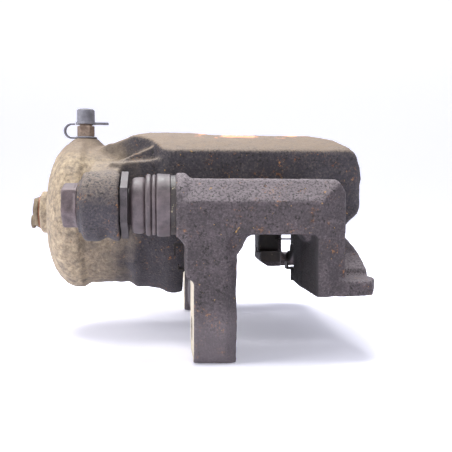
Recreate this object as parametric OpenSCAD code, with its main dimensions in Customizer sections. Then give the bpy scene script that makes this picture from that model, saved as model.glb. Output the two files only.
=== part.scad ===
// Floating brake caliper with one piston, on its carrier bracket.
// X runs along the wheel axle towards the wheel, Y along the line of the two
// guide pins, Z outwards from the axle. The origin is midway between the two
// knuckle bolt holes, on the machined face that meets the knuckle.

/* [Guide pins] */
// Distance from the middle plane to each guide pin
pin_y = 78; // [76:0.5:80]
// Height of the guide pins above the knuckle bolts
pin_z = 55; // [54:0.5:56]
// Radius of a guide pin's shaft
pin_r = 5.6; // [5.2:0.1:5.8]
// Length of a guide pin inside the bracket and the boot
pin_len = 65; // [60:1:67]

/* [Bracket] */
// Distance from the middle plane to each knuckle bolt hole
knuckle_y = 71; // [69:0.5:73]
// Radius of the tapped knuckle bolt holes (M12 x 1.25)
knuckle_r = 5.3; // [5:0.1:6]
// Distance from the middle plane to the outer end of each arm
arm_end_y = 93; // [92:0.5:94]
// Distance from the middle plane to the legs' inner faces
leg_in_y = 53; // [53:0.5:55]
// Thickness of the inboard legs at the knuckle
leg_t = 18.5; // [17:0.5:19]
// Height of the underside of the arms over the disc
arm_low_z = 42.7; // [41:0.5:44]
// Height of the top of the arms
arm_top_z = 66.3; // [65:0.5:68]
// Radius of the round bosses that hold the pins
boss_r = 14; // [13:0.5:14.5]

/* [Disc] */
// Radius of the brake disc that the caliper straddles
disc_r = 124; // [118:1:124]
// Height of the wheel axle, below the knuckle bolts
axle_z = -57; // [-58:0.5:-57]

/* [Piston] */
// Radius of the piston
piston_r = 28.5; // [27:0.5:28.5]
// Height of the piston's axis above the knuckle bolts
piston_z = 50; // [49:0.5:51]
// Length of the piston
piston_len = 55; // [50:1:56]

/* [Caliper] */
// Distance from the back to the front rim of the cylinder housing
housing_len = 69.2; // [68:0.1:71]
// Half the width of the bridge over the disc
bridge_half = 50; // [47:0.5:50]
// Gap between the front rim and the fingers
mouth = 65.8; // [65:0.1:67]

/* [Bleeder] */
// Distance of the bleeder screw behind the front rim
bleeder_back = 51.4; // [50:0.1:53]
// Width across the flats of the bleeder's hexagon
bleeder_flats = 8; // [7:0.5:8.5]

/* [Hidden] */
$fn = 72;

running_gap = 0.05;       // radial clearance of pins and piston in their bores
boss_x = -7.1;            // face of the bracket's pin bosses
spigot_x = -14.5;         // end of the spigots that carry the boots
spigot_r = 9.8;
upper_leg_x = -3.2;       // cast face of the inboard legs, above the knuckle
outer_leg_x = 47.5;       // disc side of the outboard legs
leg_low_z = -12;          // bottom of the inboard legs
outer_low_z = 16;         // bottom of the outboard legs
slot_z = [25, 37];        // lower and upper faces of the pad slots
slot_depth = 8;           // how far the pad slots are cut into the legs
sheet = 0.7;              // thickness of the spring steel pad clips
tie_x = [66, 82.5];       // inner and outer faces of the tie bar
tie_arch_r = 139;         // radius of the tie bar's upper face
tie_top_z = 40;           // height of the tie bar at its middle
tie_t = 8.5;
ear_x = [-48.2, -30.9];   // outer and inner faces of the caliper's ears
ear_r = 14.8;
rim_x = -2.8;             // front rim of the cylinder housing
back_x = rim_x - housing_len;
union_face_x = back_x - 5.6; // end of the boss that takes the hose union
finger_x = rim_x + mouth; // faces of the fingers that press on the pad
outside_x = 83;           // outside of the fingers
bridge_top_z = 93.6;      // highest point of the bridge
finger_low_z = 41.6;
bore_r = piston_r + running_gap;
bore_end_x = -59;
piston_tip_x = 1.3;
bleeder_x = rim_x - bleeder_back;
bleeder_seat_z = 90.3;    // top of the boss that the bleeder screws into
path_r = piston_r + 0.8;  // room for the piston where it passes under the bridge
boot_seat_r = 33.5;       // radius of the seat of the piston's dust boot
thread_gap = 0.05;
eps = 0.01;

cast_grey = "#514b4e";
cast_tan = "#8c7a60";
steel_brown = "#5d5051";
rubber_brown = "#4f4647";
clip_steel = "#b3a58a";

// Extrudes a YZ outline along X
module along_x(x0, x1) translate([x0, 0, 0]) rotate([90, 0, 90])
    linear_extrude(x1 - x0) children();
// Extrudes an XZ outline along Y
module along_y(y0, y1) translate([0, y1, 0]) rotate([90, 0, 0])
    linear_extrude(y1 - y0) children();
// Extrudes an XY outline along Z
module along_z(z0, z1) translate([0, 0, z0]) linear_extrude(z1 - z0) children();
// Turns an outline of [radius, x] points about the X axis
module turned() rotate([0, 90, 0]) rotate_extrude() children();
// A round bar along X
module bar_x(r, x0, x1) translate([x0, 0, 0]) rotate([0, 90, 0])
    cylinder(r = r, h = x1 - x0);
// A hexagonal bar along X, turned by a number of degrees
module hex_x(flats, x0, x1, turn = 0) translate([x0, 0, 0]) rotate([turn, 0, 0])
    rotate([0, 90, 0]) cylinder(d = flats / cos(30), h = x1 - x0, $fn = 6);
// Both sides of something symmetrical about the middle plane
module both_sides() {
    children();
    mirror([0, 1, 0]) children();
}
module at_pin(side) translate([0, side * pin_y, pin_z]) children();

// ---- carrier bracket --------------------------------------------------
// Everything here is drawn on the far side, at positive Y

module inboard_leg() {
    foot_y = 88;
    difference() {
        along_z(leg_low_z, arm_low_z + 5)
            polygon([[0, leg_in_y], [0, arm_end_y], [leg_t - 4.7, arm_end_y],
                [leg_t, foot_y], [leg_t, leg_in_y]]);
        // rounded lower corners of the lug
        for (corner = [[leg_in_y, 1, 0], [arm_end_y, -1, 90]])
            along_x(-1, leg_t + 1) translate([corner[0], leg_low_z])
                rotate(corner[2]) difference() {
                    translate([-1, -1]) square(7);
                    translate([6, 6]) circle(r = 6);
                }
    }
    // thicker cast part above the machined face
    along_y(leg_in_y, arm_end_y)
        polygon([[1, 22.5], [upper_leg_x, 24.8], [upper_leg_x, arm_low_z + 5],
            [1, arm_low_z + 5]]);
}

module arm() {
    difference() {
        along_z(arm_low_z, arm_top_z)
            polygon([[upper_leg_x, leg_in_y + 7], [upper_leg_x, arm_end_y],
                [54, arm_end_y], [66, arm_end_y - 8], [67, arm_end_y - 12],
                [60.5, leg_in_y], [0, leg_in_y]]);
        // long chamfer along the upper outer edge
        along_x(upper_leg_x - 1, 80)
            polygon([[arm_end_y + 1, pin_z + 0.4], [arm_end_y + 1, arm_top_z + 1],
                [arm_end_y - 8.7, arm_top_z + 1]]);
        // rounded outboard end of the top
        along_y(leg_in_y - 1, arm_end_y + 1)
            polygon([[61, arm_top_z + 1], [69, arm_top_z + 1], [69, arm_top_z - 8]]);
    }
    // stepped gusset between the leg and the arm
    along_y(leg_in_y + 22, arm_end_y - 2)
        polygon([[leg_t - 2, 33], [leg_t, 34.4], [leg_t + 2.2, 37.2],
            [leg_t + 3.4, 40.7], [leg_t + 5.8, arm_low_z + 1],
            [leg_t - 2, arm_low_z + 1]]);
}

module pin_boss() {
    at_pin(1) {
        turned() polygon([[0, spigot_x], [spigot_r, spigot_x], [spigot_r, boss_x],
            [boss_r, boss_x], [boss_r, boss_x + 4], [boss_r - 2.6, boss_x + 7],
            [boss_r - 2.6, 4], [0, 4]]);
    }
    // fillet under the boss, down to the leg
    along_y(pin_y - 12, arm_end_y - 1)
        polygon([[boss_x, 52], [boss_x, 42.2], [-4.6, 39.9], [upper_leg_x, 37],
            [0, 37], [0, 52]]);
}

module outboard_leg() {
    difference() {
        along_z(outer_low_z, arm_low_z + 5)
            polygon([[outer_leg_x, leg_in_y], [outer_leg_x, arm_end_y - 13],
                [52, arm_end_y - 0.5], [57, arm_end_y - 0.5], [65.5, arm_end_y - 6],
                [65.5, arm_end_y - 14], [60.5, leg_in_y]]);
        // chamfer under the disc side
        along_y(leg_in_y - 1, arm_end_y + 1)
            polygon([[outer_leg_x - 1, outer_low_z - 1], [outer_leg_x + 6.2, outer_low_z - 1],
                [outer_leg_x, outer_low_z + 4], [outer_leg_x - 1, outer_low_z + 4]]);
    }
    // fillet where the leg meets the arm
    along_y(leg_in_y + 20, arm_end_y - 4)
        polygon([[outer_leg_x - 3, arm_low_z + 1], [outer_leg_x, arm_low_z - 3],
            [outer_leg_x + 2, arm_low_z - 3], [outer_leg_x + 2, arm_low_z + 1]]);
    foot();
}

// Foot that carries the tie bar, swept out of the leg
module foot() {
    foot_top_z = 22.5;
    sweep_z = 28.5;
    intersection() {
        along_z(outer_low_z, sweep_z)
            polygon([[58, leg_in_y + 4], [tie_x[1], leg_in_y + 4], [tie_x[1], arm_end_y - 20],
                [tie_x[1] - 5, arm_end_y - 5], [70, arm_end_y - 2.5], [58, arm_end_y - 2.5]]);
        along_y(leg_in_y, arm_end_y)
            polygon([[58, outer_low_z], [tie_x[1] - 3, outer_low_z],
                [tie_x[1], outer_low_z + 2], [tie_x[1], foot_top_z - 1],
                [tie_x[1] - 1, foot_top_z], [66, foot_top_z], [63.4, foot_top_z + 0.8],
                [61.8, foot_top_z + 2.6], [61, sweep_z], [58, sweep_z]]);
    }
}

// Outline of the arched tie bar, between two concentric arcs
module tie_arch() {
    centre_z = tie_top_z - tie_arch_r;
    reach = leg_in_y + 10;
    intersection() {
        translate([0, centre_z]) difference() {
            circle(r = tie_arch_r, $fn = 180);
            circle(r = tie_arch_r - tie_t, $fn = 180);
        }
        translate([-reach, outer_low_z]) square([2 * reach, 40]);
    }
}

module inner_web() {
    // joins the two lugs under the piston and clears the hub
    along_x(2, 15) difference() {
        translate([-leg_in_y - 2, leg_low_z + 6]) square([2 * leg_in_y + 4, 21]);
        translate([0, axle_z]) circle(r = 57, $fn = 120);
    }
}

module pad_slot(x0, x1) along_x(x0, x1)
    translate([leg_in_y - 1, slot_z[0]]) square([slot_depth + 1, slot_z[1] - slot_z[0]]);

module carrier_bracket() {
    color(cast_grey) difference() {
        union() {
            both_sides() {
                inboard_leg();
                arm();
                pin_boss();
                outboard_leg();
            }
            along_x(tie_x[0], tie_x[1]) tie_arch();
            inner_web();
        }
        // room for the disc
        translate([0, 0, axle_z]) bar_x(disc_r + 2, leg_t, outer_leg_x);
        both_sides() {
            pad_slot(upper_leg_x - 1, leg_t + 1);
            pad_slot(outer_leg_x - 1, 70);
            at_pin(1) bar_x(pin_r + running_gap, spigot_x - 1, 43.5);
            translate([0, knuckle_y, 0]) bar_x(knuckle_r, -1, leg_t + 1);
        }
    }
}

// ---- pad clips --------------------------------------------------------
// Sheet of a clip: a channel that lines the slot, with a lip on the leg's face
module clip_channel(x0, x1) {
    side_y = leg_in_y + slot_depth;
    along_x(x0, x1) {
        translate([leg_in_y - sheet, slot_z[1] - sheet]) square([slot_depth + sheet, sheet]);
        translate([side_y - sheet, slot_z[0]]) square([sheet, slot_z[1] - slot_z[0]]);
        translate([leg_in_y - sheet, slot_z[0]]) square([slot_depth + sheet, sheet]);
        translate([leg_in_y - sheet, slot_z[1] - sheet]) square([sheet, 8]);
        translate([leg_in_y - sheet, slot_z[0] - 6]) square([sheet, 6 + sheet]);
    }
}
// Inner clips have two tabs that stand out behind the leg
module inner_clip() {
    tab_y = leg_in_y;
    clip_channel(0.5, leg_t - 0.5);
    translate([-7.7, tab_y, slot_z[1] - sheet]) cube([9, 6, sheet]);
    translate([-7.7, tab_y, 31.7]) cube([sheet, 6, slot_z[1] - 31.7]);
    translate([-6, tab_y, slot_z[0]]) cube([7.5, 7, sheet]);
    translate([-6, tab_y, slot_z[0]]) cube([sheet, 7, 2.2]);
}
// Outer clips have a stop tab past the outside of the leg and a lip at the disc
module outer_clip() {
    tab_y = leg_in_y + 2;
    clip_channel(outer_leg_x + 0.4, 60);
    translate([59, tab_y, 32.7]) cube([12, 6, sheet]);
    translate([outer_leg_x - 2.6, tab_y - 1.5, slot_z[0]]) cube([3.5, 6, sheet]);
    translate([outer_leg_x - 2.6, tab_y - 1.5, slot_z[0]]) cube([sheet, 6, 3.2]);
}
module pad_clip_near_inner() color(clip_steel) mirror([0, 1, 0]) inner_clip();
module pad_clip_far_inner() color(clip_steel) inner_clip();
module pad_clip_near_outer() color(clip_steel) mirror([0, 1, 0]) outer_clip();
module pad_clip_far_outer() color(clip_steel) outer_clip();

// ---- guide pins and their boots ---------------------------------------
collar_x = [-27.3, -25];  // plain collar of the pin that the boot closes on
collar_r = 7.5;
flange_x = [-30.2, collar_x[0]];

// Folded rubber boot: lip on the pin, one wide fold, two thin folds and the
// sleeve that grips the bracket's spigot
module pin_boot() turned() polygon([
    [collar_r + 0.1, -27], [9.2, -27], [9.2, -26], [11.2, -25.8], [11.9, -24.9],
    [12.1, -22.5], [12, -21.2], [10.9, -19.9], [12.6, -19.9], [13.2, -19.3], [13.2, -18],
    [12.6, -17.4], [11.6, -17.3], [12.5, -17.2], [13, -16.7], [13, -15.9],
    [12.5, -15.4], [11.8, -15.3], [13.2, -15.2], [13.5, -14.8], [13.5, -9.7],
    [13.2, -9.4], [spigot_r + 0.05, -9.4], [spigot_r + 0.05, -14.8],
    [10.3, -15.2], [10.3, -18.8], [9.5, -19.8], [10.8, -21.4], [10.8, -24.3],
    [10.4, -24.7], [collar_r + 0.1, -24.7]]);

module guide_pin(neck) difference() {
    union() {
        bar_x(8, ear_x[1], flange_x[0] + eps);
        hex_x(25, flange_x[0], flange_x[1]);
        bar_x(collar_r, flange_x[1] - eps, collar_x[1]);
        difference() {
            bar_x(pin_r, collar_x[1] - eps, collar_x[0] + pin_len);
            // seat of the bush
            if (neck) difference() {
                bar_x(pin_r + 1, 18, 34);
                bar_x(4.4, 17, 35);
            }
        }
    }
    bar_x(4, ear_x[1] - 1, -12);
}

module pin_bolt(turn) {
    head_x = ear_x[0] - 6.8;
    difference() {
        hex_x(17, head_x, ear_x[0] - 0.9, turn);
        // chamfer round the outside of the head
        turned() polygon([[8.2, head_x - 1], [12, head_x - 1], [12, head_x + 2]]);
    }
    bar_x(9.7, ear_x[0] - 1, ear_x[0]);
    bar_x(3.95, ear_x[0] - eps, -14);
}

module pin_boot_near() color(rubber_brown) at_pin(-1) pin_boot();
module pin_boot_far() color(rubber_brown) at_pin(1) pin_boot();
module pin_boot_rings() color(clip_steel) for (side = [-1, 1]) at_pin(side)
    turned() translate([spigot_r + 0.05, -9.3]) square([3.05, 2.1]);
module guide_pin_near() color(steel_brown) at_pin(-1) guide_pin(false);
module guide_pin_far() color(steel_brown) at_pin(1) guide_pin(true);
module pin_bush() color(rubber_brown) at_pin(1)
    turned() translate([4.45, 18.1]) square([pin_r - 4.45, 15.8]);
module pin_bolt_near() color(steel_brown) at_pin(-1) pin_bolt(48);
module pin_bolt_far() color(steel_brown) at_pin(1) pin_bolt(40);

// ---- caliper housing --------------------------------------------------

// Cylinder housing: a domed back, a waist and a stepped front rim
module cylinder_shell() translate([0, 0, piston_z]) turned() polygon([
    [0, back_x], [16, back_x], [22.8, back_x + 0.4], [27, back_x + 1.6],
    [31.5, back_x + 3.7], [34.6, back_x + 6], [37.2, back_x + 8.6],
    [38.8, back_x + 12], [39, back_x + 17.5], [36.6, back_x + 20.5],
    [36.6, rim_x - 28], [38.9, rim_x - 25], [40, rim_x - 12.5], [42.6, rim_x - 8],
    [42.6, rim_x], [0, rim_x]]);

// Plan, side and end outlines whose common part is the bridge
module bridge_plan() polygon([
    [-46, 17], [-32, 24], [-19, 34], [-13, bridge_half - 2], [-10, bridge_half],
    [outside_x - 3, bridge_half], [outside_x + 1, bridge_half - 4],
    [outside_x + 1, 4 - bridge_half], [outside_x - 3, -bridge_half], [-10, -bridge_half],
    [-13, 2 - bridge_half], [-19, -34], [-32, -24], [-46, -17]]);
module bridge_side() {
    corner_r = 23;        // rounded corner over the fingers
    corner = [outside_x + 1 - corner_r, 67.3];
    polygon(concat(
        [[-46, 50], [-46, 84], [-41, 86.3], [-37.9, 86.6], [-27, 90.4], [-20, 93],
            [-17, bridge_top_z], [-1, bridge_top_z], [4, 92.6], [10.8, 90.8]],
        [for (a = [90:-15:0]) corner + corner_r * [cos(a), sin(a)]],
        [[outside_x, 66], [outside_x, 50]]));
}
module bridge_end() {
    top_r = 106;
    intersection() {
        translate([0, bridge_top_z - top_r]) circle(r = top_r, $fn = 120);
        polygon([[-bridge_half, 100], [-bridge_half, 57], [-42, 49], [42, 49],
            [bridge_half, 57], [bridge_half, 100]]);
    }
}

module bridge() intersection() {
    along_z(40, 100) bridge_plan();
    along_y(-60, 60) bridge_side();
    along_x(-60, 90) bridge_end();
}

// Shelf on each shoulder, level with the ear, and the rib that climbs from it
module shoulder() {
    along_y(28, 46.5) polygon([
        [-43, 62], [-38, 75], [-14, 77], [-10, 81], [-4, 81], [-4, 62]]);
    along_y(28, 39) polygon([
        [-43, 62], [-40, 74], [-27, 79.5], [-13, 85.5], [-11, 84], [-9, 80], [-9, 62]]);
}

module fingers() {
    half = bridge_half - 3;
    along_y(-half, half) polygon([
        [finger_x, 70], [finger_x, finger_low_z], [75.6, finger_low_z], [76, 45],
        [81.8, 50.2], [outside_x, 53.4], [outside_x, 70]]);
}

module ear() {
    // round boss, chamfered towards the bolt
    translate([0, pin_y, pin_z - 0.7]) {
        bar_x(ear_r, ear_x[0] + 2.4, ear_x[1]);
        turned() polygon([[0, ear_x[0]], [ear_r - 5.5, ear_x[0]],
            [ear_r, ear_x[0] + 2.4], [ear_r, ear_x[0] + 3], [0, ear_x[0] + 3]]);
    }
    // arm from the ear to the cylinder
    along_x(ear_x[0] + 1, ear_x[1] - 2) polygon([
        [28, 42], [44, 42], [pin_y - 4, pin_z - ear_r + 1.5], [pin_y - 4, pin_z + ear_r - 1.5],
        [52, 71], [28, 77]]);
}

module caliper_housing() {
    color(cast_tan) difference() {
        union() {
            cylinder_shell();
            bridge();
            fingers();
            both_sides() {
                ear();
                shoulder();
            }
            // boss of the bleeder screw
            translate([bleeder_x, 0, bleeder_seat_z - 6.3]) cylinder(r1 = 13.2, r2 = 6.1, h = 6.3);
            // boss of the hose union
            translate([0, 0, piston_z + 1]) bar_x(11.2, union_face_x, back_x + 4);
        }
        // room for the disc and the pads
        translate([0, 0, axle_z]) bar_x(disc_r + 4, rim_x, finger_x);
        // gap between the fingers
        translate([0, 0, piston_z]) bar_x(14, finger_x - 1, outside_x + 1);
        translate([finger_x - 1, -14, 30]) cube([mouth, 28, piston_z - 30]);
        // bore, seal groove, seat of the dust boot and the piston's path under
        // the bridge
        translate([0, 0, piston_z]) turned() polygon([
            [0, bore_end_x], [bore_r, bore_end_x], [bore_r, -17], [31.6, -17],
            [31.6, -13], [bore_r, -13], [bore_r, -8.6], [boot_seat_r, -8.6],
            [boot_seat_r, 0.3], [path_r, 0.3], [path_r, finger_x - 0.5],
            [0, finger_x - 0.5]]);
        both_sides() at_pin(1) bar_x(4.3, ear_x[0] - 1, ear_x[1] + 1);
        // bleeder thread and passage
        translate([bleeder_x, 0, 83]) cylinder(r = 4 + thread_gap, h = 10);
        translate([bleeder_x, 0, 70]) cylinder(r = 1.5, h = 14);
        // union thread and passage
        translate([0, 0, piston_z + 1]) {
            bar_x(4.9 + thread_gap, back_x - 8, -66);
            bar_x(2, -67, bore_end_x + 1);
        }
    }
}

// ---- piston and what seals it -----------------------------------------
module about_piston() translate([0, 0, piston_z]) turned() children();

module piston() {
    tail_x = piston_tip_x - piston_len;
    color("#9a958e") about_piston() polygon([
        [0, tail_x], [piston_r - 1.5, tail_x], [piston_r, tail_x + 1.5],
        [piston_r, -1.9], [27, -1.9], [27, -0.3], [piston_r, -0.3],
        [piston_r, piston_tip_x - 0.5], [piston_r - 0.5, piston_tip_x],
        [24, piston_tip_x], [24, tail_x + 7], [0, tail_x + 7]]);
}
module piston_seal() color("#222222") about_piston()
    translate([piston_r + 0.08, -16.8]) square([2.9, 3.6]);
module piston_boot() color("#2c2a2a") about_piston() polygon([
    [31.4, -8.4], [33.4, -8.4], [33.4, -5.3], [32.4, -5.3], [32.4, -2.6],
    [31.6, -1.8], [29.6, -0.9], [28.7, -0.5], [27.1, -0.5], [27.1, -1.7],
    [28.8, -1.7], [31.4, -2.9]]);
module piston_boot_ring() color("#8f8a82") about_piston()
    translate([32.6, -5.1]) square([0.85, 2.2]);

// ---- hose union and bleeder -------------------------------------------
washer_t = 0.8;
module at_union() translate([0, 0, piston_z + 1]) children();
module union_washer() color("#a06a48") at_union() turned()
    translate([5, union_face_x - washer_t]) square([3.8, washer_t]);
module union_bolt() color("#7d6d54") at_union() {
    seat_x = union_face_x - washer_t;
    difference() {
        union() {
            hex_x(14, seat_x - 3, seat_x - 1, 20);
            bar_x(8.2, seat_x - 1.5, seat_x);
            bar_x(4.9, seat_x - 1.2, -66.2);
        }
        bar_x(1.6, -76, -60);
    }
    // stub below the middle of the head
    translate([0, 0, -5]) bar_x(3.6, seat_x - 4.7, seat_x - 2.9);
}

hex_z = [91.9, 97.2];     // ends of the bleeder's hexagon
cap_z = 98.1;             // open end of the rubber cap
module at_bleeder(z) translate([bleeder_x, 0, z]) children();
module bleeder_screw() color("#8d7758") difference() {
    union() {
        at_bleeder(83.2) cylinder(r = 4, h = bleeder_seat_z - 83.2 + eps);
        at_bleeder(bleeder_seat_z) cylinder(r = 4.3, h = hex_z[0] - bleeder_seat_z + eps);
        at_bleeder(hex_z[0]) cylinder(d = bleeder_flats / cos(30), h = hex_z[1] - hex_z[0], $fn = 6);
        at_bleeder(hex_z[1]) cylinder(r = 3.2, h = 4.6);
        at_bleeder(hex_z[1] + 4.5) cylinder(r1 = 3.6, r2 = 2.7, h = 2.6);
    }
    at_bleeder(86) cylinder(r = 0.9, h = 30);
}
module bleeder_cap() color("#3c3b3d") {
    at_bleeder(0) rotate_extrude() polygon([
        [3.8, cap_z], [5.4, cap_z], [5.4, cap_z + 1], [4.8, cap_z + 1.2],
        [4.7, cap_z + 7.4], [4.1, cap_z + 8.1], [0, cap_z + 8.1], [0, cap_z + 7.1],
        [3.8, cap_z + 7.1]]);
    // pull tab
    difference() {
        translate([bleeder_x + 5, -2, cap_z]) cube([7, 4, 1]);
        at_bleeder(cap_z - 1) cylinder(r = 4.5, h = 3);
    }
}
module cap_strap() color("#3c3b3d") {
    loop_r = 4.2;
    loop_out = 7.4;       // from the bleeder's axis to the middle of the loop
    low_z = bleeder_seat_z + 0.1;
    loop_x = bleeder_x - loop_out;
    // loop of the strap
    along_y(-1.5, 1.5) {
        difference() {
            translate([loop_x, low_z + loop_r]) circle(r = loop_r);
            translate([loop_x, low_z + loop_r]) circle(r = loop_r - 1);
            translate([loop_x, low_z - 1]) square([20, 20]);
        }
        translate([loop_x - eps, low_z]) square([loop_out - 4.8, 1]);
        translate([loop_x - eps, low_z + 2 * loop_r - 1]) square([loop_out - 5.75, 1]);
    }
    // ring round the bleeder's neck
    at_bleeder(low_z) difference() {
        cylinder(r = 6, h = 1);
        translate([0, 0, -1]) cylinder(r = 4.5, h = 4);
    }
}

carrier_bracket();
pad_clip_near_inner();
pad_clip_far_inner();
pad_clip_near_outer();
pad_clip_far_outer();
pin_boot_near();
pin_boot_far();
pin_boot_rings();
caliper_housing();
guide_pin_near();
guide_pin_far();
pin_bush();
pin_bolt_near();
pin_bolt_far();
piston_seal();
piston_boot();
piston_boot_ring();
piston();
union_bolt();
union_washer();
bleeder_screw();
cap_strap();
bleeder_cap();
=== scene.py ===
# %% [markdown]
# # A used floating brake caliper
# A caliper is two iron castings that slide on each other. The carrier bracket
# bolts to the knuckle, and the caliper, with its cylinder, bridge and fingers,
# hangs on it by two guide pins in rubber boots. This lesson keeps every
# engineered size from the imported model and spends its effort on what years
# of road dirt and rust do to sand-cast iron, rubber and plated steel.

# %% Load the frame
import math

import bpy
import numpy as np
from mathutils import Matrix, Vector, noise


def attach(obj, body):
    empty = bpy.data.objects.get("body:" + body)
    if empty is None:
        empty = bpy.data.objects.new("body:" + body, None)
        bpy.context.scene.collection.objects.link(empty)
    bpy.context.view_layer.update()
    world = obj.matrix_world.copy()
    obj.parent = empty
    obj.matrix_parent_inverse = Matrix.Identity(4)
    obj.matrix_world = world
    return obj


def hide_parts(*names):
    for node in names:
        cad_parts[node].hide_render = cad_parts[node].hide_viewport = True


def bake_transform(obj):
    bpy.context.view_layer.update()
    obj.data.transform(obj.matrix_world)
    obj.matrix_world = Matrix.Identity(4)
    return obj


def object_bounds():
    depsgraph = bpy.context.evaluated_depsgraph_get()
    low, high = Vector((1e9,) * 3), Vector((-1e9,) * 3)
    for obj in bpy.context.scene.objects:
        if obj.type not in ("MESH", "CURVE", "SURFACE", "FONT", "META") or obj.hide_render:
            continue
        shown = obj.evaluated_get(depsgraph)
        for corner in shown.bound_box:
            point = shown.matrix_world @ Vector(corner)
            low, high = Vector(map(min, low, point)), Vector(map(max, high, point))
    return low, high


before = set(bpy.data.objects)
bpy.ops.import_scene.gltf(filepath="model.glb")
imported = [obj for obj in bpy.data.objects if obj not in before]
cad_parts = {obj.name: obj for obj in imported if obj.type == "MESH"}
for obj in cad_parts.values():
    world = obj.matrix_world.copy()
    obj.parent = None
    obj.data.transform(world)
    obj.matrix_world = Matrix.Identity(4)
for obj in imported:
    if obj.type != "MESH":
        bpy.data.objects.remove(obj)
cad_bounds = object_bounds()

# %% [markdown]
# Turned pieces lie evenly about their axis, so the middle of a pin, of the
# piston and of the bleeder gives the axes that the rest is built on.

# %% Axes taken from the frame
def middle_mm(node, axis):
    mesh_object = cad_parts[node]
    places = [(mesh_object.matrix_world @ vertex.co)[axis] for vertex in mesh_object.data.vertices]
    return round((min(places) + max(places)) / 2 * 1000, 1)


X_AXIS, Y_AXIS, Z_AXIS = 0, 1, 2
PIN_Y, PIN_Z = middle_mm("guide_pin_far", Y_AXIS), middle_mm("guide_pin_far", Z_AXIS)
PISTON_Z = middle_mm("piston", Z_AXIS)
BLEEDER_X = middle_mm("bleeder_screw", X_AXIS)
print("pins at", PIN_Y, PIN_Z, "piston at", PISTON_Z, "bleeder at", BLEEDER_X)

# %% [markdown]
# Everything is in metres, but a workshop thinks in millimetres, so one short
# name turns millimetres to metres. Blender's colours are linear while colour
# charts are sRGB, so one function turns an sRGB hex value to linear.
# One more function adds a shader node with its settings and its links. A link
# may name a socket, or a node, which then gives its first working output.

# %% Units, colour and nodes
MM = 0.001


def colour(hex_code):
    parts = [int(hex_code[i : i + 2], 16) / 255 for i in (1, 3, 5)]
    linear = [c / 12.92 if c <= 0.04045 else ((c + 0.055) / 1.055) ** 2.4 for c in parts]
    return (*linear, 1.0)


def add_node(tree, kind, settings=None, links=None):
    made = tree.nodes.new(kind)
    for key, value in (settings or {}).items():
        if isinstance(key, str) and hasattr(made, key):
            setattr(made, key, value)
        else:
            made.inputs[key].default_value = value
    for key, source in (links or {}).items():
        if hasattr(source, "outputs"):
            source = next(socket for socket in source.outputs if socket.enabled)
        tree.links.new(source, made.inputs[key])
    return made


print("one millimetre is", MM, "m")

# %% [markdown]
# ## Camera
# The view is level with the guide pins and looks along the line of the two
# pins, from close up. A 55 mm lens at 380 mm from the middle plane gives
# the strong perspective that makes the near arm so much larger than the
# cylinder behind it. The camera turns a little to the wheel side and down.

# %% Camera
camera_data = bpy.data.cameras.new("camera")
camera_data.lens = 55
camera_data.sensor_width = 36
camera_data.clip_start = 0.02
camera = bpy.data.objects.new("camera", camera_data)
camera.location = (-11 * MM, -378 * MM, 55.9 * MM)
turn_to_wheel = math.radians(4.9)
tilt_down = math.radians(1.9)
camera.rotation_euler = (math.pi / 2 - tilt_down, 0, -turn_to_wheel)
bpy.context.scene.collection.objects.link(camera)
bpy.context.scene.camera = camera
bpy.context.scene.view_settings.view_transform = "Standard"
print("camera", [round(c, 3) for c in camera.location])

# %% [markdown]
# ## Floor and light
# A white sweep fills the view: the floor runs back and curves up, so there is
# no horizon. A catalogue studio lights its paper separately until it burns out
# to white, and a little emission in the paper does the same here, so that the
# lamps can stay soft. A large box overhead gives the bright tops and the dark
# undersides of the castings, and one at the left lights the cylinder's back.

# %% Floor and lights
low_z = cad_bounds[0][2]


def sweep(name, width, front, back, bend, height):
    steps = 12
    line = [(front, 0.0), (back - bend, 0.0)]
    line += [
        (back - bend + bend * math.sin(a), bend - bend * math.cos(a))
        for a in (math.pi / 2 * i / steps for i in range(1, steps + 1))
    ]
    line.append((back, height))
    mesh = bpy.data.meshes.new(name)
    points = [(x, y, z + low_z) for y, z in line for x in (-width / 2, width / 2)]
    faces = [(2 * i, 2 * i + 1, 2 * i + 3, 2 * i + 2) for i in range(len(line) - 1)]
    mesh.from_pydata(points, [], faces)
    mesh.polygons.foreach_set("use_smooth", [True] * len(faces))
    made = bpy.data.objects.new(name, mesh)
    bpy.context.scene.collection.objects.link(made)
    return made


floor = sweep("floor", width=8, front=-3, back=3, bend=1.0, height=4)
paper = bpy.data.materials.new("white_paper")
paper.use_nodes = True
paper_shader = paper.node_tree.nodes["Principled BSDF"]
paper_shader.inputs["Base Color"].default_value = colour("#ececf6")
paper_shader.inputs["Roughness"].default_value = 0.9
paper_shader.inputs["Emission Color"].default_value = colour("#f4f4ff")
# it glows less around the part, so that the part's shadow shows
paper_tree = paper.node_tree
around = add_node(paper_tree, "ShaderNodeTexCoord").outputs["Object"]
away = add_node(paper_tree, "ShaderNodeVectorMath", {"operation": "LENGTH"}, {0: around})
glow = add_node(
    paper_tree, "ShaderNodeMapRange", {1: 0.15, 2: 0.6, 3: 0.28, 4: 0.54}, {0: away.outputs["Value"]})
paper_tree.links.new(glow.outputs["Result"], paper_shader.inputs["Emission Strength"])
floor.data.materials.append(paper)

world = bpy.data.worlds.new("studio")
bpy.context.scene.world = world
world.use_nodes = True
world.node_tree.nodes["Background"].inputs["Color"].default_value = colour("#eef0ff")
world.node_tree.nodes["Background"].inputs["Strength"].default_value = 0.42


def soft_box(name, place, aim, size, watts):
    data = bpy.data.lights.new(name, "AREA")
    data.shape = "DISK"
    data.size = size
    data.energy = watts
    made = bpy.data.objects.new(name, data)
    made.location = place
    made.rotation_euler = (Vector(aim) - Vector(place)).to_track_quat("-Z", "Y").to_euler()
    bpy.context.scene.collection.objects.link(made)


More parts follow.
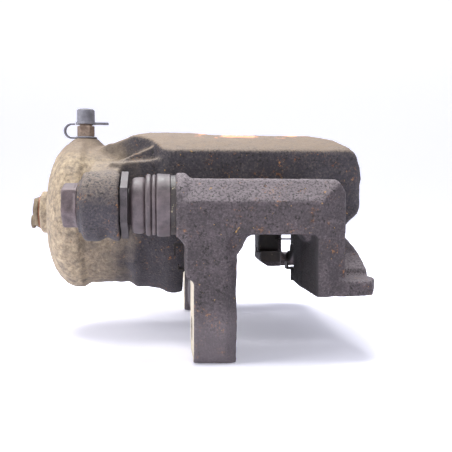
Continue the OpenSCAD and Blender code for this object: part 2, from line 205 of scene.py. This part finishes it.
target = (0.0, 0.0, 0.04)
soft_box("top_box", (-0.1, 0.15, 0.95), target, 0.8, 17)
soft_box("left_box", (-0.95, -0.35, 0.4), target, 0.6, 7)
soft_box("front_box", (0.25, -1.2, 0.7), target, 0.7, 4.5)

# %% [markdown]
# ## Sand-cast iron
# Both castings are grey iron poured in sand. The skin keeps the print of the
# sand: grains just under 1 mm across. Iron under road film looks purplish
# brown, with paler dust on what faces up and along worn edges. Rust blooms as
# orange specks where stones have chipped the film, and pits stay nearly black.
# One function builds the skin for both castings, because only the colours and
# the amounts of dust and rust differ. It works in the object's own
# coordinates, in metres, so a pattern that is `size` millimetres across has
# a scale of 1000 / size.
#
# Three kinds of node do most of the work. A noise texture gives a pattern. A
# map range turns part of it into a mask: input 0 is the value, 1 and 2 are
# the range that it comes from, 3 and 4 the range that it goes to. A mix lays
# colour 7 over colour 6 by the mask in input 0.

# %% Cast iron skin
def per_metre(size_mm):
    return 1000 / size_mm


def cast_iron(name, deep, skin, dusty, top_dust, rust_level):
    material = bpy.data.materials.new(name)
    material.use_nodes = True
    tree = material.node_tree
    shader = tree.nodes["Principled BSDF"]
    place = add_node(tree, "ShaderNodeTexCoord").outputs["Object"]
    geometry = add_node(tree, "ShaderNodeNewGeometry").outputs
    upward = add_node(tree, "ShaderNodeSeparateXYZ", links={0: geometry["Normal"]}).outputs["Z"]
    cloud = add_node(
        tree, "ShaderNodeTexNoise", {"Scale": per_metre(13), "Detail": 4, "Roughness": 0.6}, {0: place})
    grain = add_node(
        tree, "ShaderNodeTexNoise", {"Scale": per_metre(0.9), "Detail": 3, "Roughness": 0.65}, {0: place})
    blotch = add_node(
        tree, "ShaderNodeTexNoise", {"Scale": per_metre(3.4), "Detail": 5, "Roughness": 0.7}, {0: place})

    # thick and thin road film over the bare skin
    mask = add_node(tree, "ShaderNodeMapRange", {1: 0.3, 2: 0.7, 3: 0.2, 4: 0.85}, {0: cloud})
    tone = add_node(
        tree, "ShaderNodeMix", {"data_type": "RGBA", 6: colour(deep), 7: colour(skin)}, {0: mask})

    # dust settles on what faces up, in blotches
    settled = add_node(tree, "ShaderNodeMapRange", {1: 0.05, 2: 0.85, 4: top_dust}, {0: upward})
    broken = add_node(tree, "ShaderNodeMapRange", {1: 0.25, 2: 0.6, 3: 0.55}, {0: blotch})
    mask = add_node(tree, "ShaderNodeMath", {"operation": "MULTIPLY"}, {0: settled, 1: broken})
    tone = add_node(tree, "ShaderNodeMix", {"data_type": "RGBA", 7: colour(dusty)}, {0: mask, 6: tone})

    # worn edges are paler, by the curvature of the skin
    mask = add_node(tree, "ShaderNodeMapRange", {1: 0.52, 2: 0.62, 4: 0.35}, {0: geometry["Pointiness"]})
    tone = add_node(tree, "ShaderNodeMix", {"data_type": "RGBA", 7: colour(dusty)}, {0: mask, 6: tone})

    # the hollows between the grains of sand are dark, the crests pale
    mask = add_node(tree, "ShaderNodeMapRange", {1: 0.52, 2: 0.38, 4: 0.85}, {0: grain})
    tone = add_node(tree, "ShaderNodeMix", {"data_type": "RGBA", 7: colour(deep)}, {0: mask, 6: tone})
    mask = add_node(tree, "ShaderNodeMapRange", {1: 0.54, 2: 0.72, 4: 0.32}, {0: grain})
    tone = add_node(tree, "ShaderNodeMix", {"data_type": "RGBA", 7: colour(dusty)}, {0: mask, 6: tone})

    # pits stay nearly black
    wide = add_node(tree, "ShaderNodeMapRange", {1: 0.54, 2: 0.62}, {0: blotch})
    fine = add_node(tree, "ShaderNodeMapRange", {1: 0.5, 2: 0.42}, {0: grain})
    mask = add_node(tree, "ShaderNodeMath", {"operation": "MULTIPLY"}, {0: wide, 1: fine})
    tone = add_node(tree, "ShaderNodeMix", {"data_type": "RGBA", 7: colour("#17130f")}, {0: mask, 6: tone})

    # rust: small orange specks inside patches 9 mm across
    patch = add_node(
        tree, "ShaderNodeTexNoise", {"Scale": per_metre(9), "Detail": 3, "Roughness": 0.6}, {0: place})
    speck = add_node(
        tree, "ShaderNodeTexNoise", {"Scale": per_metre(1.1), "Detail": 4, "Roughness": 0.7}, {0: place})
    wide = add_node(tree, "ShaderNodeMapRange", {1: 0.6 - rust_level, 2: 0.72 - rust_level}, {0: patch})
    fine = add_node(tree, "ShaderNodeMapRange", {1: 0.56, 2: 0.64, 4: 0.85}, {0: speck})
    mask = add_node(tree, "ShaderNodeMath", {"operation": "MULTIPLY"}, {0: wide, 1: fine})
    shade = add_node(tree, "ShaderNodeMapRange", {1: 0.4, 2: 0.6}, {0: grain})
    rust = add_node(
        tree, "ShaderNodeMix", {"data_type": "RGBA", 6: colour("#7a4524"), 7: colour("#c08542")}, {0: shade})
    tone = add_node(tree, "ShaderNodeMix", {"data_type": "RGBA"}, {0: mask, 6: tone, 7: rust})

    # lone golden chips
    chips = add_node(tree, "ShaderNodeTexNoise", {"Scale": per_metre(2.1), "Detail": 2}, {0: place})
    mask = add_node(tree, "ShaderNodeMapRange", {1: 0.72, 2: 0.75, 4: 0.7}, {0: chips})
    tone = add_node(tree, "ShaderNodeMix", {"data_type": "RGBA", 7: colour("#a9854c")}, {0: mask, 6: tone})

    height = add_node(tree, "ShaderNodeMath", {"operation": "MULTIPLY_ADD", 1: 0.5}, {0: blotch, 2: grain})
    bump = add_node(tree, "ShaderNodeBump", {"Strength": 1.0, "Distance": 0.5 * MM}, {"Height": height})
    rough = add_node(tree, "ShaderNodeMapRange", {1: 0.3, 2: 0.7, 3: 0.6, 4: 0.9}, {0: grain})
    tree.links.new(bump.outputs["Normal"], shader.inputs["Normal"])
    tree.links.new(rough.outputs["Result"], shader.inputs["Roughness"])
    return material, place, geometry, tone


# %% [markdown]
# The bracket's iron is nearly bare. Its only bright part is the machined face
# that was clamped to the knuckle: a flat face cut by the mill, so it is smooth,
# paler bare iron with a painted sheen laid into its colour. A mask picks what
# lies within half a millimetre of that plane.
# Painted shade, with some brake dust, blackens what faces the disc on the wheel side.

# %% Bracket iron
bracket_iron, place, geometry, tone = cast_iron(
    "bare_cast_iron", "#2f292b", "#5a5053", "#8c8286", top_dust=0.75, rust_level=0.06)
tree = bracket_iron.node_tree
position = add_node(tree, "ShaderNodeSeparateXYZ", links={0: place}).outputs
facing = add_node(tree, "ShaderNodeSeparateXYZ", links={0: geometry["Normal"]}).outputs["X"]

# road splash pales the bottom of the inboard legs
low = add_node(tree, "ShaderNodeMapRange", {1: 15 * MM, 2: 4 * MM, 4: 0.3}, {0: position["Z"]})
tone = add_node(tree, "ShaderNodeMix", {"data_type": "RGBA", 7: colour("#8c8286")}, {0: low, 6: tone})

# painted shade: what faces the disc on the wheel side is darkened, partly for brake dust
painted_shade_to_disc = add_node(tree, "ShaderNodeMapRange", {1: -0.15, 2: -0.5, 4: 0.85}, {0: facing})
wheel_side = add_node(tree, "ShaderNodeMapRange", {1: 40 * MM, 2: 44 * MM}, {0: position["X"]})
mask = add_node(tree, "ShaderNodeMath", {"operation": "MULTIPLY"}, {0: painted_shade_to_disc, 1: wheel_side})
tone = add_node(tree, "ShaderNodeMix", {"data_type": "RGBA", 7: colour("#171417")}, {0: mask, 6: tone})

inboard = add_node(tree, "ShaderNodeMapRange", {1: -0.8, 2: -0.95}, {0: facing})
off_plane = add_node(tree, "ShaderNodeMath", {"operation": "ABSOLUTE"}, {0: position["X"]})
on_plane = add_node(tree, "ShaderNodeMapRange", {1: 0.5 * MM, 2: 0.3 * MM}, {0: off_plane})
# painted sheen: the machined face is coloured pale cream, bare iron and sheen together
milled_face_and_sheen = add_node(tree, "ShaderNodeMath", {"operation": "MULTIPLY"}, {0: inboard, 1: on_plane})
tone = add_node(tree, "ShaderNodeMix", {"data_type": "RGBA", 7: colour("#d8cdb8")}, {0: milled_face_and_sheen, 6: tone})
tree.links.new(tone.outputs[2], tree.nodes["Principled BSDF"].inputs["Base Color"])
print("bracket iron has", len(tree.nodes), "nodes")

# %% [markdown]
# The caliper's iron carries far more road dust. It is thick and sandy on the
# cylinder's back and on everything that faces up, and it thins out towards
# the disc, where the iron turns dark. The ears stand out of the spray and
# stay nearly bare. One mask along the axle and one for what faces up place
# the dust, and a last one adds the orange paint that the workshop dabbed on
# the crown of the bridge.

# %% Caliper iron
housing_iron, place, geometry, tone = cast_iron(
    "dusty_cast_iron", "#28242a", "#4a454a", "#8f8071", top_dust=0.7, rust_level=0.05)
tree = housing_iron.node_tree
position = add_node(tree, "ShaderNodeSeparateXYZ", links={0: place}).outputs
upward = add_node(tree, "ShaderNodeSeparateXYZ", links={0: geometry["Normal"]}).outputs["Z"]
streaks = add_node(
    tree, "ShaderNodeTexNoise", {"Scale": per_metre(5), "Detail": 4, "Roughness": 0.65}, {0: place})
streak = add_node(tree, "ShaderNodeMapRange", {1: 0.34, 2: 0.56, 3: 0.5}, {0: streaks})

# sand on the back, with an edge that drifts, and none on the ears
drift = add_node(
    tree, "ShaderNodeTexNoise", {"Scale": per_metre(16), "Detail": 3, "Roughness": 0.6}, {0: place})
edge_x = add_node(
    tree, "ShaderNodeMath", {"operation": "MULTIPLY_ADD", 1: 34 * MM}, {0: drift, 2: position["X"]})
back = add_node(tree, "ShaderNodeMapRange", {1: -8 * MM, 2: -40 * MM}, {0: edge_x})
from_middle = add_node(tree, "ShaderNodeMath", {"operation": "ABSOLUTE"}, {0: position["Y"]})
off_ear = add_node(tree, "ShaderNodeMapRange", {1: 58 * MM, 2: 50 * MM}, {0: from_middle})
mask = add_node(tree, "ShaderNodeMath", {"operation": "MULTIPLY"}, {0: back, 1: off_ear})
mask = add_node(tree, "ShaderNodeMath", {"operation": "MULTIPLY"}, {0: mask, 1: streak})
sands = add_node(
    tree, "ShaderNodeTexNoise", {"Scale": per_metre(2.2), "Detail": 5, "Roughness": 0.7}, {0: place})
shade = add_node(tree, "ShaderNodeMapRange", {1: 0.35, 2: 0.65}, {0: sands})
sand = add_node(
    tree, "ShaderNodeMix", {"data_type": "RGBA", 6: colour("#7d6e5a"), 7: colour("#b4a287")}, {0: shade})
tone = add_node(tree, "ShaderNodeMix", {"data_type": "RGBA"}, {0: mask, 6: tone, 7: sand})

# a paler coat on the crown of the bridge
up = add_node(tree, "ShaderNodeMapRange", {1: 0.25, 2: 0.7}, {0: upward})
high = add_node(tree, "ShaderNodeMapRange", {1: 78 * MM, 2: 84 * MM}, {0: position["Z"]})
mask = add_node(tree, "ShaderNodeMath", {"operation": "MULTIPLY"}, {0: up, 1: high})
mask = add_node(tree, "ShaderNodeMath", {"operation": "MULTIPLY"}, {0: mask, 1: streak})
tone = add_node(tree, "ShaderNodeMix", {"data_type": "RGBA", 7: colour("#796959")}, {0: mask, 6: tone})

# dabs of workshop paint: each mask is one side of the area that they lie in
dabs = add_node(
    tree, "ShaderNodeTexNoise", {"Scale": per_metre(11), "Detail": 3, "Roughness": 0.6}, {0: place})
mask = add_node(tree, "ShaderNodeMapRange", {1: 0.53, 2: 0.58}, {0: dabs})
for source, start, full in (
    (upward, 0.8, 0.9), (position["X"], 2 * MM, 8 * MM),
    (position["X"], 62 * MM, 56 * MM), (position["Z"], 88 * MM, 89.5 * MM),
):
    side = add_node(tree, "ShaderNodeMapRange", {1: start, 2: full}, {0: source})
    mask = add_node(tree, "ShaderNodeMath", {"operation": "MULTIPLY"}, {0: mask, 1: side})
tone = add_node(tree, "ShaderNodeMix", {"data_type": "RGBA", 7: colour("#ef9f78")}, {0: mask, 6: tone})
tree.links.new(tone.outputs[2], tree.nodes["Principled BSDF"].inputs["Base Color"])
print("caliper iron has", len(tree.nodes), "nodes")

# %% [markdown]
# ## Turning an engineered solid into a casting
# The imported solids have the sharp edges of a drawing. A real casting has none:
# the sand rounds each edge, the skin is lumpy, and only the faces that a
# cutter has touched are flat. A bevel modifier would round the edges but leave
# dead flat faces, and a displacement texture needs a dense even mesh. So each
# casting is copied, remeshed on a fine grid, smoothed, and pushed in and out
# by noise. Bores and machined faces are then put back exactly where they were.

# %% Casting helpers
def remeshed(node, voxel_mm, rounds):
    piece = bpy.data.objects.new(node + "_raw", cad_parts[node].data.copy())
    bpy.context.scene.collection.objects.link(piece)
    grid = piece.modifiers.new("grid", "REMESH")
    grid.mode = "VOXEL"
    grid.voxel_size = voxel_mm * MM
    soften = piece.modifiers.new("soften", "SMOOTH")
    soften.factor = 0.5
    soften.iterations = rounds
    depsgraph = bpy.context.evaluated_depsgraph_get()
    mesh = bpy.data.meshes.new_from_object(piece.evaluated_get(depsgraph))
    bpy.data.objects.remove(piece)
    mesh.materials.clear()
    return mesh


def points_and_normals(mesh):
    places = np.empty(len(mesh.vertices) * 3)
    normals = np.empty(len(mesh.vertices) * 3)
    mesh.vertices.foreach_get("co", places)
    mesh.vertex_normals.foreach_get("vector", normals)
    return places.reshape(-1, 3) / MM, normals.reshape(-1, 3)


def lumps(places, size_mm, octaves, shift):
    moved = places / size_mm + shift
    return np.array([noise.fractal(Vector(p), 1.0, 2.0, octaves) for p in moved])


def bump_at(values, centre, width):
    return np.exp(-(((values - centre) / width) ** 2))


def true_bores(places, bores):
    """bores: (y, z, radius, first x, last x), all along X."""
    for y, z, radius, x0, x1 in bores:
        across = places[:, 1:] - (y, z)
        far = np.linalg.norm(across, axis=1)
        near = (far < radius + 0.7) & (far > radius - 1.5) & (places[:, 0] > x0) & (places[:, 0] < x1)
        places[near, 1:] = (y, z) + across[near] * (radius / far[near])[:, None]


def true_faces(places, normals, faces):
    """faces: (x, side the face looks to, function that says which places are on it)."""
    for x, side, inside in faces:
        near = (abs(places[:, 0] - x) < 0.9) & (normals[:, 0] * side > 0.8) & inside(places)
        places[near, 0] = x


def add_piece(name, mesh, material, body, replaced):
    mesh.polygons.foreach_set("use_smooth", [True] * len(mesh.polygons))
    mesh.materials.append(material)
    piece = bpy.data.objects.new(name, mesh)
    bpy.context.scene.collection.objects.link(piece)
    if body:
        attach(piece, body)
    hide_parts(replaced)
    print(name, "has", len(mesh.polygons), "faces")
    return piece


def casting(node, name, material, body, voxel_mm=0.9, rounds=4, lump_mm=0.22, grain_mm=0.16, seed=0.0,
            shape=None, bores=(), faces=()):
    mesh = remeshed(node, voxel_mm, rounds)
    places, normals = points_and_normals(mesh)
    push = lump_mm * lumps(places, 9, 2, seed) + grain_mm * lumps(places, 2.4, 2, seed + 7.3)
    if shape:
        push = push + shape(places, normals)
    places += normals * push[:, None]
    true_bores(places, bores)
    true_faces(places, normals, faces)
    places[:, 2] = np.maximum(places[:, 2], low_z / MM)
    mesh.vertices.foreach_set("co", (places * MM).ravel())
    return add_piece(name, mesh, material, body, node)


# %% [markdown]
# ## Carrier bracket
# The bracket's own marks are the flash line round each pin boss, where the two
# halves of the mould met, and a waist in the legs' edges left by fettling.

# %% Carrier bracket
KNUCKLE_Y = 71  # half the spacing of the knuckle bolts


def bracket_marks(places, normals):
    x, y, z = places.T
    flash = bump_at(z, PIN_Z + 0.4, 0.6) * (abs(y) > 90) * (x < 2) * 0.3
    ripple = 0.25 * np.sin(z / 4.1) * bump_at(x, 19, 2.5) * (z < 34)
    return flash + ripple


casting(
    "carrier_bracket", "bracket_casting", bracket_iron, "bracket", seed=3.1,
    shape=bracket_marks,
    bores=[(side * PIN_Y, PIN_Z, 5.65, -15, 43) for side in (-1, 1)]
    + [(side * KNUCKLE_Y, 0, 5.3, -1, 20) for side in (-1, 1)]
    + [(side * PIN_Y, PIN_Z, 9.8, -15, -7.4) for side in (-1, 1)],
    faces=[(0, -1, lambda p: p[:, 2] < 22), (-7.1, -1, lambda p: p[:, 2] > 40)],
)

# %% [markdown]
# ## Caliper casting
# The ear keeps a flash line along its outermost side and a notch underneath,
# where the mould's riser was broken off. Its upper half is rougher, because
# it was cut by a coarse file. The cylinder's side is faintly fluted.

# %% Caliper casting
def caliper_marks(places, normals):
    x, y, z = places.T
    ear = (abs(y) > 70) & (x < -29)
    flash = bump_at(z, PIN_Z - 0.3, 0.5) * (abs(y) > 88) * (x > -40) * ear * 0.55
    notch = bump_at(x, -36.4, 2.4) * (z < PIN_Z - 9) * ear * -1.7
    hacked = 0.3 * lumps(places, 1.7, 2, 4.0) * ear * (z > PIN_Z + 1)
    flutes = 0.22 * np.sin(x / 1.5) * (abs(y) < 45) * (z < 50) * (x > -40)
    return flash + notch + hacked + flutes


casting(
    "caliper_housing", "caliper_casting", housing_iron, "caliper", voxel_mm=1.05, seed=11.7,
    shape=caliper_marks,
    bores=[(0, PISTON_Z, 28.55, -59, -8.8), (0, PISTON_Z, 33.5, -8.5, -3), (0, PISTON_Z, 31.6, -16.8, -13.2)]
    + [(side * PIN_Y, PIN_Z, 4.3, -50, -31) for side in (-1, 1)],
    faces=[(-2.8, 1, lambda p: p[:, 2] < 70), (63, -1, lambda p: p[:, 2] < 60),
           (-30.9, 1, lambda p: abs(p[:, 1]) > 64), (-48.2, -1, lambda p: abs(p[:, 1]) > 64)],
)

# %% [markdown]
# ## Steel and rubber finishes
# The small parts share one recipe: two tones in soft clouds, a scatter of dirt
# spots, and a fine grain for the bump. What changes is the metal or rubber
# beneath. Bolts and pins are carbon steel that has browned all over, so they
# are rough and dull. Rubber is moulded EPDM under dust, with no metallic part
# at all. Metals keep the IOR that Blender starts with.

# %% Steel and rubber materials
def worn(name, deep, light, dirt, metallic, roughness, grain_mm, bump_mm, dirt_level):
    material = bpy.data.materials.new(name)
    material.use_nodes = True
    tree = material.node_tree
    shader = tree.nodes["Principled BSDF"]
    place = add_node(tree, "ShaderNodeTexCoord").outputs["Object"]
    cloud = add_node(
        tree, "ShaderNodeTexNoise", {"Scale": per_metre(5), "Detail": 5, "Roughness": 0.65}, {0: place})
    grain = add_node(tree, "ShaderNodeTexNoise", {"Scale": per_metre(grain_mm), "Detail": 4}, {0: place})
    spots = add_node(
        tree, "ShaderNodeTexNoise", {"Scale": per_metre(2), "Detail": 5, "Roughness": 0.7}, {0: place})
    mask = add_node(tree, "ShaderNodeMapRange", {1: 0.35, 2: 0.68}, {0: cloud})
    tone = add_node(
        tree, "ShaderNodeMix", {"data_type": "RGBA", 6: colour(deep), 7: colour(light)}, {0: mask})
    mask = add_node(tree, "ShaderNodeMapRange", {1: 0.45, 2: 0.35, 4: 0.35}, {0: grain})
    tone = add_node(tree, "ShaderNodeMix", {"data_type": "RGBA", 7: colour(deep)}, {0: mask, 6: tone})
    mask = add_node(
        tree, "ShaderNodeMapRange", {1: 0.66 - dirt_level, 2: 0.74 - dirt_level, 4: 0.8}, {0: spots})
    tone = add_node(tree, "ShaderNodeMix", {"data_type": "RGBA", 7: colour(dirt)}, {0: mask, 6: tone})
    rough = add_node(
        tree, "ShaderNodeMapRange", {1: 0.3, 2: 0.7, 3: roughness - 0.1, 4: roughness + 0.15}, {0: cloud})
    bump = add_node(tree, "ShaderNodeBump", {"Strength": 0.7, "Distance": bump_mm * MM}, {"Height": grain})
    tree.links.new(tone.outputs[2], shader.inputs["Base Color"])
    tree.links.new(rough.outputs["Result"], shader.inputs["Roughness"])
    tree.links.new(bump.outputs["Normal"], shader.inputs["Normal"])
    shader.inputs["Metallic"].default_value = metallic
    return material


browned_steel = worn("browned_steel", "#42383a", "#726465", "#9a6a45", 0.25, 0.5, 0.7, 0.12, 0.0)
pin_steel = worn("dull_pin_steel", "#353032", "#5a5254", "#7d5b40", 0.2, 0.5, 0.7, 0.12, 0.0)
dusty_steel = worn("dusty_steel", "#5d5040", "#8f7f66", "#4a3d30", 0.1, 0.75, 0.9, 0.15, 0.04)
nipple_steel = worn("dull_zinc_plate", "#6c5a4d", "#aa9684", "#3d322b", 0.3, 0.55, 0.8, 0.12, 0.06)
spring_steel = worn("stained_spring_steel", "#1d1918", "#3a322c", "#a4917a", 0.4, 0.45, 0.8, 0.05, 0.0)
greasy_ring = worn("greasy_ring", "#262020", "#423936", "#b3a888", 0.0, 0.45, 0.6, 0.15, 0.06)
ground_steel = worn("plated_ground_steel", "#8d8a86", "#b3b0aa", "#6d5a48", 0.9, 0.25, 1.5, 0.02, 0.0)
copper = worn("soft_copper", "#5d3d2e", "#8d6248", "#4d3a2c", 0.6, 0.5, 1.0, 0.05, 0.05)
boot_rubber = worn("moulded_rubber", "#40383a", "#665a5c", "#7f736c", 0.0, 0.5, 1.0, 0.07, 0.02)
seal_rubber = worn("black_seal_rubber", "#1d1b1b", "#2c2929", "#4d463e", 0.0, 0.6, 1.0, 0.04, 0.02)
cap_rubber = worn("cap_rubber", "#616066", "#84838a", "#6d675f", 0.0, 0.6, 1.0, 0.05, 0.02)

print(len(bpy.data.materials), "materials")

# %% [markdown]
# ## Hexagons rounded by spanners
# The two pin bolts and the union bolt have lost the corners of their heads.
# A remesh at half a millimetre, smoothed more than the castings were, gives
# that shape, and noise gives the scale of rust that covers them.

# %% Worn bolt heads
for side in ("near", "far"):
    casting("pin_bolt_" + side, "worn_pin_bolt_" + side, browned_steel, "caliper",
            voxel_mm=0.5, rounds=8, lump_mm=0.1, grain_mm=0.05, seed=2.0)
casting("union_bolt", "worn_union_bolt", dusty_steel, "caliper",
        voxel_mm=0.45, rounds=4, lump_mm=0.08, grain_mm=0.05, seed=5.0)

# %% [markdown]
# ## Folded rubber boots
# A boot is a turned shape, so it is made the way a potter would make it: one
# outline of its wall, walked round the axis. The outline's corners are cut
# twice, which turns each fold into a soft bead as moulded rubber has, and the
# radius wanders by a tenth of a millimetre, because no old boot is round.

# %% Turning rubber about an axis
def cut_corners(outline, rounds):
    for _ in range(rounds):
        after = outline[1:] + outline[:1]
        pairs = zip(outline, after)
        outline = [
            (0.75 * a[0] + 0.25 * b[0], 0.75 * a[1] + 0.25 * b[1]) if first
            else (0.25 * a[0] + 0.75 * b[0], 0.25 * a[1] + 0.75 * b[1])
            for a, b in pairs for first in (True, False)
        ]
    return outline


def turned_rubber(name, outline, centre_y, centre_z, wander_mm, material, replaced, steps=120):
    """outline: closed list of (radius, x) in mm, for a wall turned about X."""
    ring = cut_corners(outline, 2)
    points, faces = [], []
    for step in range(steps):
        turn = 2 * math.pi * step / steps
        for radius, x in ring:
            drift = noise.noise(Vector((math.cos(turn) * 1.5, math.sin(turn) * 1.5, x / 3 + centre_y)))
            reach = radius + wander_mm * drift
            y = centre_y + reach * math.sin(turn)
            z = centre_z + reach * math.cos(turn)
            points.append((x * MM, y * MM, z * MM))
    count = len(ring)
    for step in range(steps):
        following = (step + 1) % steps
        for i in range(count):
            j = (i + 1) % count
            faces.append((step * count + i, following * count + i, following * count + j, step * count + j))
    mesh = bpy.data.meshes.new(name)
    mesh.from_pydata(points, [], faces)
    mesh.validate()
    mesh.update()
    return add_piece(name, mesh, material, None, replaced)


# wall of a pin boot: lip on the pin, barrel, two beads, and the wide band
# that grips the bracket's spigot
pin_boot_wall = [
    (7.7, -26.9), (8.6, -27.0), (9.1, -26.3), (10.2, -26.0), (11.3, -25.6), (11.9, -24.8), (12.1, -23.6),
    (12.2, -22.2), (12.0, -20.8), (11.2, -20.2), (11.0, -19.8), (12.4, -20.0), (13.2, -19.5), (13.3, -18.5),
    (13.0, -17.7), (11.7, -17.5), (11.7, -17.3), (12.5, -17.3), (13.0, -16.9), (13.1, -16.2), (12.8, -15.6),
    (11.8, -15.4), (11.9, -15.2), (13.1, -15.3), (13.6, -14.9), (13.6, -13.5), (13.5, -11.0), (13.5, -9.6),
    (13.1, -9.4), (9.9, -9.4), (9.9, -14.7), (10.3, -15.2), (10.3, -18.6), (9.6, -19.8), (10.7, -21.3),
    (10.8, -24.2), (10.3, -24.8), (7.7, -25.0)]

for side, sign in (("near", -1), ("far", 1)):
    boot = turned_rubber("folded_boot_" + side, pin_boot_wall, sign * PIN_Y, PIN_Z, 0.25,
                         boot_rubber, "pin_boot_" + side)
    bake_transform(boot)

# %% [markdown]
# The piston's dust boot is the same idea at twice the size: its bead sits in
# the housing and its lip in the piston's groove. On the car it stretches with
# the piston as the pads wear; here it keeps one shape.

# %% Piston boot
piston_boot_wall = [
    (31.5, -8.3), (33.3, -8.3), (33.35, -5.4), (32.5, -5.2), (32.4, -3.4), (32.2, -2.4), (31.4, -1.6),
    (30.2, -1.4), (29.3, -0.9), (28.5, -0.45), (27.2, -0.5), (27.2, -1.7), (28.6, -1.75), (29.6, -2.0),
    (30.6, -2.6), (31.3, -3.2)]
dust_boot = turned_rubber("dust_boot", piston_boot_wall, 0, PISTON_Z, 0.0, seal_rubber,
                          "piston_boot", steps=160)
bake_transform(dust_boot)

# %% [markdown]
# ## Strap of the bleeder's cap
# The strap is one strip of rubber: a ring round the bleeder's neck, a loop
# that swings out to the side, and its end at the cap. The loop is a band of
# changing width walked along a half circle, thicker in the middle, where the
# mould was cut deeper. The real strap bends when the cap is pulled off; this one keeps its moulded shape.

# %% Cap strap
ring_low, ring_high = 90.4, 91.4
loop_top = 98.75
loop_x = BLEEDER_X - 7.4
loop_r = (loop_top - ring_low) / 2


def strap_mesh():
    points, faces = [], []
    # (x, z, half width, half thickness) of the band's middle line
    path = [(BLEEDER_X - 5.2, ring_low + 0.5, 1.6, 0.45), (loop_x, ring_low + 0.5, 1.4, 0.45)]
    arc_steps = 20
    for i in range(1, arc_steps):
        turn = math.pi * i / arc_steps
        swell = math.sin(turn)
        x = loop_x - (loop_r - 0.5) * math.sin(turn)
        z = ring_low + loop_r - (loop_r - 0.5) * math.cos(turn)
        path.append((x, z, 1.4 + 0.4 * swell, 0.45 + 0.3 * swell))
    path += [(loop_x, loop_top - 0.45, 1.4, 0.45), (BLEEDER_X - 5.85, loop_top - 0.45, 1.6, 0.45)]
    for i, (x, z, wide, thick) in enumerate(path):
        x0, z0 = path[max(i - 1, 0)][:2]
        x1, z1 = path[min(i + 1, len(path) - 1)][:2]
        length = math.hypot(x1 - x0, z1 - z0)
        nx, nz = -(z1 - z0) / length, (x1 - x0) / length
        # a flat oval section
        for k in range(12):
            around = 2 * math.pi * k / 12
            offset = thick * math.sin(around)
            points.append(((x + nx * offset) * MM, wide * math.cos(around) * MM, (z + nz * offset) * MM))
    for i in range(len(path) - 1):
        for k in range(12):
            m = (k + 1) % 12
            faces.append((i * 12 + k, i * 12 + m, (i + 1) * 12 + m, (i + 1) * 12 + k))
    faces.append(tuple(range(11, -1, -1)))
    faces.append(tuple((len(path) - 1) * 12 + k for k in range(12)))
    # the ring, a flat washer with rounded edges
    section = cut_corners([(4.5, ring_low), (6.0, ring_low), (6.0, ring_high), (4.5, ring_high)], 2)
    first = len(points)
    steps = 48
    for step in range(steps):
        turn = 2 * math.pi * step / steps
        points += [
            ((BLEEDER_X + r * math.cos(turn)) * MM, r * math.sin(turn) * MM, z * MM)
            for r, z in section]
    count = len(section)
    for step in range(steps):
        following = (step + 1) % steps
        for i in range(count):
            j = (i + 1) % count
            faces.append((first + step * count + i, first + following * count + i,
                          first + following * count + j, first + step * count + j))
    mesh = bpy.data.meshes.new("cap_strap_band")
    mesh.from_pydata(points, [], faces)
    mesh.validate()
    mesh.update()
    return mesh


strap = add_piece("strap_band", strap_mesh(), cap_rubber, None, "cap_strap")
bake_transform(strap)

# %% [markdown]
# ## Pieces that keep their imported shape
# The pins, the piston, the clips, the bleeder and its cap are machined,
# pressed or moulded to exact outlines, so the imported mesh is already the
# right shape. A bevel modifier breaks its edges, as a lathe hand would.

# %% Finish the machined pieces
for node_name, material, bevel_mm in (
    ("guide_pin_near", pin_steel, 0.5), ("guide_pin_far", pin_steel, 0.5),
    ("pin_bush", seal_rubber, 0.2), ("pin_boot_rings", greasy_ring, 0.3),
    ("piston", ground_steel, 0.4), ("piston_seal", seal_rubber, 0.2),
    ("piston_boot_ring", greasy_ring, 0.1), ("union_washer", copper, 0.15),
    ("bleeder_screw", nipple_steel, 0.4), ("bleeder_cap", cap_rubber, 0.4),
    ("pad_clip_near_inner", spring_steel, 0.15), ("pad_clip_far_inner", spring_steel, 0.15),
    ("pad_clip_near_outer", spring_steel, 0.15), ("pad_clip_far_outer", spring_steel, 0.15),
):
    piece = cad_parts[node_name]
    piece.data.materials.clear()
    piece.data.materials.append(material)
    rounding = piece.modifiers.new("broken_edges", "BEVEL")
    rounding.width = bevel_mm * MM
    rounding.segments = 3
    rounding.limit_method = "ANGLE"
    rounding.angle_limit = math.radians(35)
